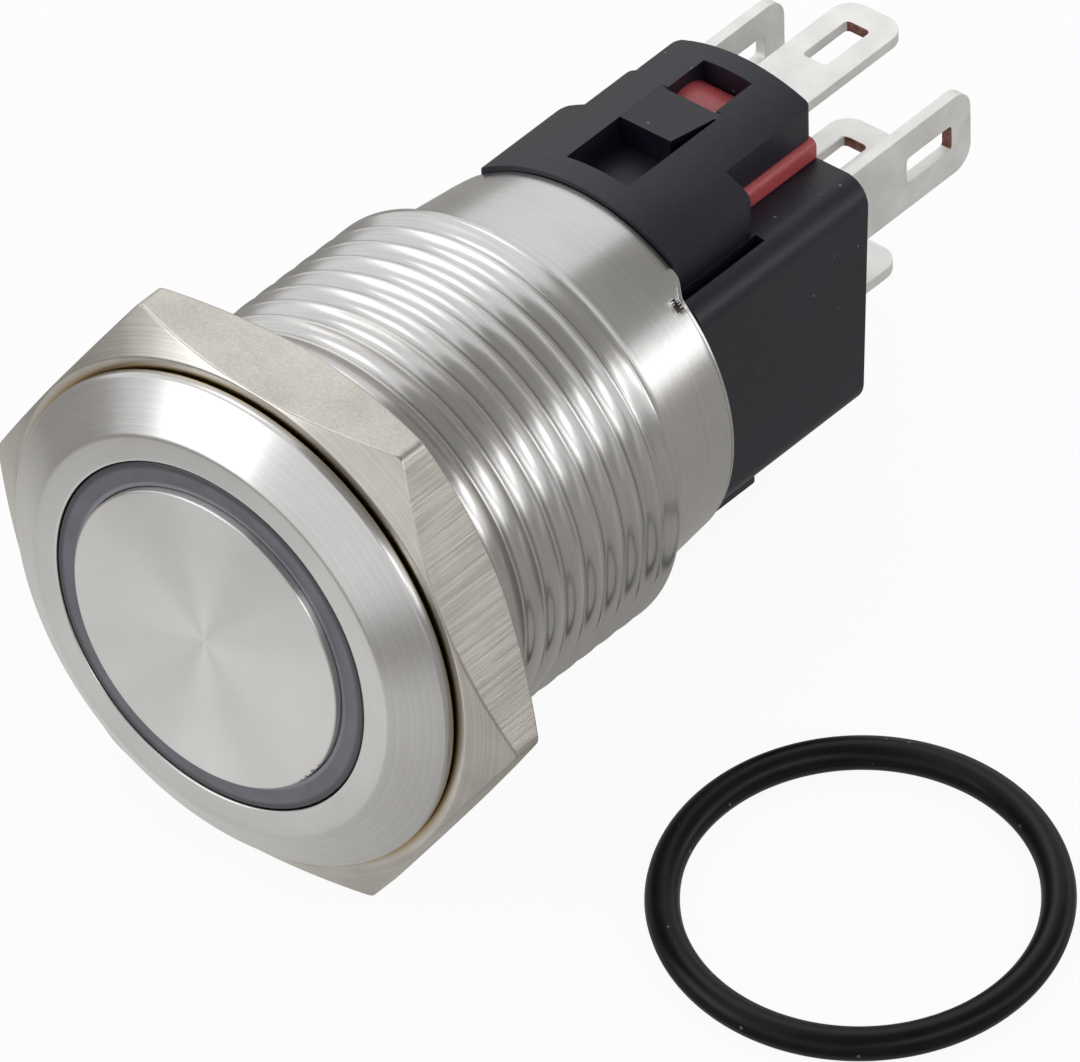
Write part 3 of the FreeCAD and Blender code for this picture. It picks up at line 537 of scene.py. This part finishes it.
def barrel_section(angle):
    """Half section of the barrel at an angle."""
    rim = rim_at(angle)
    front = eased([(POCKET_RADIUS, 0.0), (POCKET_RADIUS, HEAD_FACE, 0.1), (FACE_RADIUS, HEAD_FACE, 0.1),
                   (HEAD_RADIUS, BEVEL_END, 0.12), (HEAD_RADIUS, 0, 0.1), (NECK_RADIUS, 0)], loop=False)
    run_out = [(9.44, THREAD_END + 0.06), (9.3, THREAD_END + 0.14), (8.78, SKIRT_START - 0.05),
               (8.69, SKIRT_START + 0.1)]
    rows = np.arange(SKIRT_ROW_START, RIM - 0.2, SKIRT_ROW_STEP)
    skirt = [(skirt_radius(angle, y), min(y, rim - 0.15)) for y in rows]
    end = skirt_radius(angle, rim - 0.1)
    rear = eased([(end, rim - 0.14), (end, rim, 0.07), (REAR_BORE, rim, 0.07), (REAR_BORE, COLLAR_REAR),
                  (COLLAR_BORE, COLLAR_REAR, 0.1), (COLLAR_BORE, COLLAR_FRONT, 0.1),
                  (POCKET_RADIUS, COLLAR_FRONT)], loop=False)
    return front + thread_section(angle) + run_out + skirt + rear


def angles_about(centres, step):
    """Closely spaced angles on both sides of these centres, in radians."""
    return [math.radians(a) for c in centres for a in np.arange(c - 4, c + 4.1, step)]


coarse = list(np.linspace(0, 2 * math.pi, 241))
closer = angles_about(PUNCH_DEGREES, 0.4) + angles_about(SLOPE_DEGREES, 0.7)
barrel_angles = sorted({round(a, 5) for a in coarse + closer})
barrel_angles[-1] = 2 * math.pi
barrel = revolve("threaded_barrel", barrel_section, barrel_angles, closed=False)
print("barrel:", len(barrel.data.polygons), "faces,", round((THREAD_END - 0.3) / PITCH, 1), "turns")

# %% Painted shade inside the punch marks
OUTER_SKIRT, RADIUS_AT_MARK, PAINTED_SHADE_HALF_LENGTH = 8, 8.3, 0.24
# The faces inside each mark take a dark steel, which is painted shade of the dent.
for face in barrel.data.polygons:
    x, y, z = face.center / MM
    if math.hypot(x, z) <= OUTER_SKIRT or abs(y - PUNCH_PLACE) >= PUNCH_HALF_WIDTH:
        continue
    around = min(abs(math.remainder(math.atan2(z, x) - place, 2 * math.pi)) for place in PUNCH_TURNS)
    sideways = around * RADIUS_AT_MARK / PUNCH_HALF_WIDTH
    ragged_edge = 0.95 + 0.4 * math.sin(900 * around)
    if math.hypot(sideways, (y - PUNCH_PLACE) / PAINTED_SHADE_HALF_LENGTH) < ragged_edge:
        face.material_index = 1
# A dark rough steel that paints the shade inside the marks.
punched = wire_or_strip("punch_mark_painted_shade_steel", "#2B2926", "#5A554F", 0.7)
stand_in(barrel, "body_barrel", "barrel_steel", turned, punched)
# The number of faces that carry the painted shade.
dark = sum(face.material_index == 1 for face in barrel.data.polygons)
print("faces inside the marks:", dark)

# %% [markdown]
# ## The nut
#
# A hexagon cut from bar and turned back at 30 degrees on both faces, which gives each flat its
# curved upper edge. At every angle the section runs out to the hexagon, and the turned cone
# meets it where it may. Sums of high powers round the six corners a little.

# %% Nut mesh
ACROSS_FLATS, NUT_FRONT, NUT_REAR, NUT_BORE = 23.0, 0.12, 3.5, 9.56
FIRST_CORNER = math.radians(-5.1)
CHAMFER = math.tan(math.radians(30))
CORNER_SHARPNESS = 150
TURNED_BELOW_FLAT = 0.06
BORE_CHAMFER_WIDTH, BORE_CHAMFER_DEPTH = 0.4, 0.45


def hexagon_radius(angle):
    """Distance from the axis to the hexagon's side, with slightly rounded corners."""
    total = 0.0
    for k in range(6):
        towards = math.cos(angle - FIRST_CORNER - math.radians(30 + 60 * k))
        total += max(0.0, towards) ** CORNER_SHARPNESS
    return ACROSS_FLATS / 2 * total ** (-1 / CORNER_SHARPNESS)


def nut_section(angle):
    """Half section of the nut at an angle."""
    out = hexagon_radius(angle)
    inscribed = ACROSS_FLATS / 2 - TURNED_BELOW_FLAT
    opening = NUT_BORE + BORE_CHAMFER_WIDTH
    drop = (out - inscribed) * CHAMFER
    return eased([(NUT_BORE, NUT_FRONT + BORE_CHAMFER_DEPTH), (opening, NUT_FRONT),
                  (inscribed, NUT_FRONT, 0.04), (out, NUT_FRONT + drop, 0.08),
                  (out, NUT_REAR - drop, 0.08), (inscribed, NUT_REAR, 0.04),
                  (opening, NUT_REAR), (NUT_BORE, NUT_REAR - BORE_CHAMFER_DEPTH)])


near_corners = [FIRST_CORNER + math.radians(60 * k + d)
                for k in range(6) for d in np.arange(-4, 4.1, 0.5)]
nut_angles = sorted({round(a % (2 * math.pi), 5) for a in even_angles(180) + near_corners})
nut = revolve("chamfered_nut", nut_section, nut_angles)
print("nut:", len(nut.data.polygons), "faces,", ACROSS_FLATS, "mm across flats")

# %% Nut steel
BROWN_FROM, BROWN_TO, BROWN_AHEAD_OF = 11.3, 11.05, 1


def milled_steel(name):
    """Stainless steel bar: sandy or milled flats, turned cones, and a brownish line at the head."""
    material, tree = new_material(name)
    place, rings_at = round_the_axis(tree)
    # The cutter ran along the axis, so the lines of the milled flats are stretched along it.
    grain = add_node(tree, "TexNoise", {"Vector": place, "Scale": per_metre(0.13), "Detail": 3})
    squeeze = add_node(tree, "VectorMath", {0: place, 1: (1, 0.03, 1)}, operation="MULTIPLY")
    lines = add_node(tree, "TexNoise", {"Vector": squeeze.outputs["Vector"], "Scale": per_metre(0.14),
                                        "Detail": 2})
    rings = add_node(tree, "TexNoise", {"Vector": rings_at, "Scale": per_metre(0.07), "Detail": 2})
    faint = add_node(tree, "Math", {0: rings.outputs["Fac"], 1: 0.1}, operation="MULTIPLY")
    # Faces that lean towards the axis are turned. Of the six flats, the upper and the lower one
    # have a sandy skin, and the other four are milled.
    normal = add_node(tree, "SeparateXYZ", {0: add_node(tree, "NewGeometry").outputs["True Normal"]})
    lean = add_node(tree, "Math", {0: normal.outputs["Y"]}, operation="ABSOLUTE")
    on_side = add_node(tree, "Math", {0: lean.outputs[0], 1: 0.3}, operation="LESS_THAN")
    facing = add_node(tree, "Math", {0: normal.outputs["X"]}, operation="ABSOLUTE")
    milled = add_node(tree, "Math", {0: facing.outputs[0], 1: 0.6}, operation="GREATER_THAN")
    deeper = add_node(tree, "Math", {0: lines.outputs["Fac"], 1: 1.6}, operation="MULTIPLY")
    cut = add_node(tree, "Math", {0: deeper.outputs[0], 1: 0.3}, operation="SUBTRACT")
    worn = add_node(tree, "Mix", {0: milled.outputs[0], 2: grain.outputs["Fac"], 3: cut.outputs[0]})
    height = add_node(tree, "Mix", {0: on_side.outputs[0], 2: faint.outputs[0], 3: worn.outputs[0]})
    finish = add_node(tree, "Mix", {0: on_side.outputs[0], 2: rings.outputs["Fac"], 3: worn.outputs[0]})
    stain = add_node(tree, "TexNoise", {"Vector": place, "Scale": per_metre(2.5), "Detail": 4})
    tone = add_node(tree, "Mix", {0: 0.5, 2: finish.outputs[0], 3: stain.outputs["Fac"]})
    plain = two_tone(tree, tone.outputs[0], "#B4B0A9", "#CCC8C1")
    # The brownish line is on the front face only, where it goes under the head.
    split = add_node(tree, "SeparateXYZ", {0: rings_at})
    inward = add_node(tree, "MapRange", {"Value": split.outputs["X"], "From Min": BROWN_FROM * MM,
                                         "From Max": BROWN_TO * MM})
    forward = add_node(tree, "Math", {0: split.outputs["Y"], 1: BROWN_AHEAD_OF * MM},
                       operation="LESS_THAN")
    near_head = add_node(tree, "Math", {0: inward.outputs[0], 1: forward.outputs[0]},
                         operation="MULTIPLY")
    colour = add_node(tree, "Mix", {0: near_head.outputs[0], 6: plain, 7: linear("#A08C64")},
                      data_type="RGBA").outputs[2]
    matte = add_node(tree, "MapRange", {"Value": on_side.outputs[0], "To Min": 0.24, "To Max": 0.4})
    shader = add_node(tree, "BsdfPrincipled", {
        "Base Color": colour, "Metallic": 1.0, "Roughness": matte.outputs[0],
        "Normal": relief(tree, height.outputs[0], 0.006)})
    surface(tree, shader)
    return material


stand_in(nut, "hex_nut", "nut_steel", milled_steel("milled_stainless_steel"))

# %% [markdown]
# ## Button disc and lens ring
#
# The disc is a slug of stainless steel with a faced, ring-grained front and a broken edge.
# Round it stands the lens ring, a smoky translucent moulding that glows when the lamps behind
# it are lit. It is off here and looks violet grey. A bright line at its inner edge is a painted
# reflection of the side of the disc, and a dark line at its outer edge is painted shade.

# %% Disc and lens meshes
DISC_RADIUS, DISC_FRONT, DISC_REAR = 6.65, -1.98, -1.08
LENS_INNER, LENS_OUTER, LENS_FRONT, LENS_REAR = 6.68, 7.75, -1.65, 0.55
LENS_EDGE = 0.06
# Each nick's place round the rim in degrees, and its depth in millimetres.
NICK_HALF_WIDTH = 0.6
NICKS = ((-44, 0.05), (-40.5, 0.1), (-38.5, 0.04), (-36, 0.12), (-34.8, 0.07), (-31, 0.05))


def disc_section(angle):
    """Half section of the disc. A few nicks in its rim show where a tool has slipped."""
    turned_to = math.remainder(math.degrees(angle), 360)
    nick = sum(deep * math.exp(-((turned_to - place) / NICK_HALF_WIDTH) ** 2) for place, deep in NICKS)
    return eased([(0, DISC_REAR), (DISC_RADIUS, DISC_REAR), (DISC_RADIUS - nick, DISC_FRONT, 0.09),
                  (0, DISC_FRONT)], loop=False, steps=4)


nicked = [math.radians(a) for a in np.arange(314, 331, 0.4)]
disc = revolve("spun_disc", disc_section, sorted(even_angles(144) + nicked), loop=False)
stand_in(disc, "button_disc", "disc_steel", spun)

lens_points = eased([(LENS_INNER, LENS_FRONT, 0.06),
                     (LENS_OUTER - LENS_EDGE, LENS_FRONT, 0.03), (LENS_OUTER, LENS_FRONT + LENS_EDGE, 0.03),
                     (LENS_OUTER, LENS_REAR), (LENS_INNER, LENS_REAR)])
lens = revolve("smoky_lens", lambda angle: lens_points, even_angles(144))
print("disc", 2 * DISC_RADIUS, "mm, lens ring", round(LENS_OUTER - LENS_INNER, 2), "mm wide")

# %% Lens plastic
# Radii of the painted dark line of shade at the outer edge, and of the painted bright reflection line at
# the inner edge.
PAINTED_SHADE_LINE, PAINTED_REFLECTION_LINE = (7.42, 7.56), (6.92, 6.8)


def smoky_polycarbonate(name):
    """Tinted, light-spreading polycarbonate: glossy, and a little of the light goes through."""
    material, tree = new_material(name)
    place, rings_at = round_the_axis(tree)
    haze = add_node(tree, "TexNoise", {"Vector": place, "Scale": per_metre(1.5), "Detail": 3})
    grain = add_node(tree, "TexNoise", {"Vector": place, "Scale": per_metre(0.12), "Detail": 2})
    radius = add_node(tree, "SeparateXYZ", {0: rings_at}).outputs["X"]
    # Painted shade: a dark line at the outer edge, where the lens meets the head.
    outer = add_node(tree, "MapRange", {"Value": radius, "From Min": PAINTED_SHADE_LINE[0] * MM,
                                        "From Max": PAINTED_SHADE_LINE[1] * MM})
    # Painted reflection: a bright line at the inner edge, where the side of the disc is mirrored.
    inner = add_node(tree, "MapRange", {"Value": radius, "From Min": PAINTED_REFLECTION_LINE[0] * MM,
                                        "From Max": PAINTED_REFLECTION_LINE[1] * MM})
    colour = two_tone(tree, haze.outputs["Fac"], "#65626D", "#726F7A")
    with_painted_shade = add_node(tree, "Mix", {0: outer.outputs[0], 6: colour, 7: linear("#3B3942")},
                      data_type="RGBA")
    with_painted_reflection = add_node(tree, "Mix", {0: inner.outputs[0], 6: with_painted_shade.outputs[2], 7: linear("#9A98A2")},
                      data_type="RGBA")
    surface(tree, add_node(tree, "BsdfPrincipled", {
        "Base Color": with_painted_reflection.outputs[2], "Roughness": 0.28, "IOR": 1.58, "Transmission Weight": 0.25,
        "Normal": relief(tree, grain.outputs["Fac"], 0.002)}))
    return material


stand_in(lens, "lens_ring", "lens", smoky_polycarbonate("smoky_polycarbonate"))
print("lens lines at radius", PAINTED_SHADE_LINE[1], "and", PAINTED_REFLECTION_LINE[1], "mm")

# %% [markdown]
# ## Sealing ring
#
# A moulded ring of nitrile rubber. Where the two halves of its mould met there is a fine line
# of flash along the inner and outer equator. It lies flat on the table, so its axis is the
# table's. New black rubber is fairly glossy, and light dust clings to it.

# %% Ring mesh and rubber
SEAL_MEAN_RADIUS, SEAL_SECTION_RADIUS = 7.75, 0.7
FLASH_HALF_ANGLE, FLASH_HEIGHT = 0.05, 0.015
low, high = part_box("panel_seal_ring")
seal_centre = (low + high) / 2


def seal_section(angle):
    """The round section with its two flash lines."""
    points = []
    for s in even_angles(72):
        from_seam = min(abs(math.remainder(s, math.pi)) / FLASH_HALF_ANGLE, 9)
        r = SEAL_SECTION_RADIUS - FLASH_HEIGHT * (1 - math.exp(-from_seam ** 2))
        points.append((SEAL_MEAN_RADIUS + r * math.cos(s), r * math.sin(s)))
    return points


def black_rubber(name):
    """Nitrile rubber: deep black, soft gloss, specks of dust."""
    material, tree = new_material(name)
    place = add_node(tree, "TexCoord").outputs["Object"]
    bloom = add_node(tree, "TexNoise", {"Vector": place, "Scale": per_metre(1.8), "Detail": 5})
    black = two_tone(tree, bloom.outputs["Fac"], "#040407", "#0A0A10")
    dust = add_node(tree, "TexVoronoi", {"Vector": place, "Scale": per_metre(0.9)})
    speck = add_node(tree, "Math", {0: dust.outputs["Distance"], 1: 0.09}, operation="LESS_THAN")
    colour = add_node(tree, "Mix", {0: speck.outputs[0], 6: black, 7: linear("#55575A")},
                      data_type="RGBA")
    grain = add_node(tree, "TexNoise", {"Vector": place, "Scale": per_metre(0.2), "Detail": 3})
    matte = add_node(tree, "MapRange", {"Value": bloom.outputs["Fac"], "To Min": 0.26, "To Max": 0.36})
    surface(tree, add_node(tree, "BsdfPrincipled", {
        "Base Color": colour.outputs[2], "Roughness": matte.outputs[0], "IOR": 1.5,
        "Specular IOR Level": 0.2,
        "Normal": relief(tree, grain.outputs["Fac"], 0.004)}))
    return material


rubber = black_rubber("black_nitrile_rubber")
seal = revolve("rubber_ring", seal_section, even_angles(160))
tilt = Vector((0, 1, 0)).rotation_difference(UP_FROM_TABLE).to_matrix().to_4x4()
seal.data.transform(Matrix.Translation(seal_centre) @ tilt)
stand_in(seal, "panel_seal_ring", "rubber", rubber)
frame["nodes"]["plunger_seal"].data.materials.clear()
frame["nodes"]["plunger_seal"].data.materials.append(rubber)
print("ring", 2 * (SEAL_MEAN_RADIUS + SEAL_SECTION_RADIUS), "mm outside")

# %% [markdown]
# ## Mouldings
#
# Contact block and covers are black glass-filled polyamide, with the fine spark-eroded grain
# of their mould; the insert is red. Moulded plastic is not metal: a dark base, a grey sheen
# from the grain, and brighter rounded edges. The real grain is about as fine as a pixel, so it
# is drawn a little coarser.

# %% Moulded plastics
def moulded(name, dark, light, roughness, grain_mm, depth_mm, gloss=0.5, dust=None):
    """A moulding with a spark-eroded grain, slight flow marks and a few specks of dust."""
    material, tree = new_material(name)
    place = add_node(tree, "TexCoord").outputs["Object"]
    flow = add_node(tree, "TexNoise", {"Vector": place, "Scale": per_metre(4), "Detail": 4})
    grain = add_node(tree, "TexNoise", {"Vector": place, "Scale": per_metre(grain_mm), "Detail": 3})
    tone = add_node(tree, "Mix", {0: 0.4, 2: flow.outputs["Fac"], 3: grain.outputs["Fac"]})
    colour = two_tone(tree, tone.outputs[0], dark, light)
    if dust is not None:
        cells = add_node(tree, "TexVoronoi", {"Vector": place, "Scale": per_metre(1.1)})
        speck = add_node(tree, "Math", {0: cells.outputs["Distance"], 1: 0.055}, operation="LESS_THAN")
        colour = add_node(tree, "Mix", {0: speck.outputs[0], 6: colour, 7: linear(dust)},
                          data_type="RGBA").outputs[2]
    matte = add_node(tree, "MapRange", {"Value": flow.outputs["Fac"], "To Min": roughness * 0.85,
                                        "To Max": roughness * 1.15})
    surface(tree, add_node(tree, "BsdfPrincipled", {
        "Base Color": colour, "Roughness": matte.outputs[0], "IOR": 1.53, "Specular IOR Level": gloss,
        "Normal": relief(tree, grain.outputs["Fac"], depth_mm)}))
    return material


black_polyamide = moulded("black_polyamide", "#0B0C1B", "#191A27", 0.42, 0.16, 0.009,
                         gloss=0.42, dust="#66676A")
red_polyamide = moulded("red_polyamide", "#9C3D41", "#B04C50", 0.4, 0.25, 0.004)
mouldings = (
    ("contact_block", 0.12, "black_plastic", black_polyamide),
    ("top_cover", 0.1, "black_plastic", black_polyamide),
    ("bottom_cover", 0.1, "black_plastic", black_polyamide),
    ("red_insert", 0.1, "red_plastic", red_polyamide),
)
for node, edge_mm, slot, material in mouldings:
    stand_in(dressed(node, edge_mm), node, slot, material)
print("mouldings dressed:", len(mouldings))

# %% [markdown]
# ## Contact lugs
#
# The lugs are stamped from brass sheet and silver plated: bright, slightly mottled, with
# eased edges. The walls of the wire slots look brown, as bare punched brass goes, apart from the
# left lamp lug's, which looks clean in the photograph.

# %% Lug finishes
def silver_plate(name):
    """Silver plate on brass: pale, faint mottling. Not fully metallic, so it looks a little chalky."""
    material, tree = new_material(name)
    place = add_node(tree, "TexCoord").outputs["Object"]
    mottle = add_node(tree, "TexNoise", {"Vector": place, "Scale": per_metre(1.4), "Detail": 5})
    grain = add_node(tree, "TexNoise", {"Vector": place, "Scale": per_metre(0.25), "Detail": 3})
    colour = two_tone(tree, mottle.outputs["Fac"], "#E4E4E2", "#F0F0EE")
    matte = add_node(tree, "MapRange", {"Value": mottle.outputs["Fac"], "To Min": 0.55, "To Max": 0.7})
    surface(tree, add_node(tree, "BsdfPrincipled", {
        "Base Color": colour, "Metallic": 0.8, "Roughness": matte.outputs[0],
        "Normal": relief(tree, grain.outputs["Fac"], 0.003)}))
    return material


def browned_brass(name):
    """Bare brass on a punched edge, gone brown: tarnish dulls it, so it is only partly metallic."""
    material, tree = new_material(name)
    place = add_node(tree, "TexCoord").outputs["Object"]
    streak = add_node(tree, "TexNoise", {"Vector": place, "Scale": per_metre(0.3), "Detail": 4})
    colour = two_tone(tree, streak.outputs["Fac"], "#8A5A50", "#BA8A7E")
    surface(tree, add_node(tree, "BsdfPrincipled", {
        "Base Color": colour, "Metallic": 0.6, "Roughness": 0.5,
        "Normal": relief(tree, streak.outputs["Fac"], 0.004)}))
    return material


silver = silver_plate("silver_plated_brass")
brown = browned_brass("browned_punched_brass")


print("lug finishes:", silver.name, brown.name)

# %% Lugs and their slots
# Where the slot's walls start and end, in millimetres from the lug's tip.
SLOT_FROM_TIP, SLOT_TO = 0.3, 4.6
LUGS = ("upper_contact_lug", "common_contact_lug", "lower_contact_lug", "left_lamp_lug",
        "right_lamp_lug")


def slot_walls_browned(piece):
    """Gives the walls of the wire slot the second material: small faces that look along the axis."""
    tip = max(v.co.y for v in piece.data.vertices)
    for face in piece.data.polygons:
        inside = tip - SLOT_FROM_TIP * MM > face.center.y > tip - SLOT_TO * MM
        if inside and abs(face.normal.y) > 0.7:
            face.material_index = 1


for node in LUGS:
    lug = stand_in(dressed(node, 0.06), node, "lug_metal", silver, brown)
    if node != "left_lamp_lug":
        slot_walls_browned(lug)
print("lugs dressed:", len(LUGS))

# %% [markdown]
# ## Inside the switch
#
# The inner pieces can hardly be seen, but they are there when the part is opened. They keep
# the CAD solids and take a finish each. The return spring is the exception: it has to shorten
# when the button goes in, and here a copy of its coils, at its full length, takes the place of
# the CAD node.

# %% Inner pieces
drawn_steel = wire_or_strip("drawn_spring_steel", "#8E8B86", "#B9B6B0", 0.3)
wound = frame["nodes"]["return_spring"].data
spring = finished_mesh("coil_spring", [v.co.copy() for v in wound.vertices],
                       [tuple(p.vertices) for p in wound.polygons])
stand_in(spring, "return_spring", "spring_steel", drawn_steel)
low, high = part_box("return_spring")
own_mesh(spring)

inner_finishes = {
    drawn_steel:
        ("retaining_clip", "left_lamp_spring", "right_lamp_spring"),
    wire_or_strip("rolled_silver_alloy", "#B9A27C", "#D8C8A2", 0.32):
        ("upper_contact_rivet", "lower_contact_rivet", "upper_moving_contact", "lower_moving_contact"),
    moulded("clear_polycarbonate", "#C9CCCE", "#DADDDE", 0.12, 0.3, 0.001):
        ("button_plunger",),
    moulded("glass_epoxy_board", "#2C5A3C", "#3B6E4A", 0.4, 0.2, 0.006):
        ("lamp_board",),
    moulded("lamp_resin", "#D9C77A", "#E9DDA6", 0.3, 0.2, 0.002):
        ("lamp_1", "lamp_2", "lamp_3", "lamp_4"),
    moulded("white_acetal", "#DAD8D2", "#E8E6E0", 0.35, 0.25, 0.003):
        ("contact_slider",),
}
for material, names in inner_finishes.items():
    for name in names:
        frame["nodes"][name].data.materials.clear()
        frame["nodes"][name].data.materials.append(material)
print("inner pieces finished:", sum(len(names) for names in inner_finishes.values()))
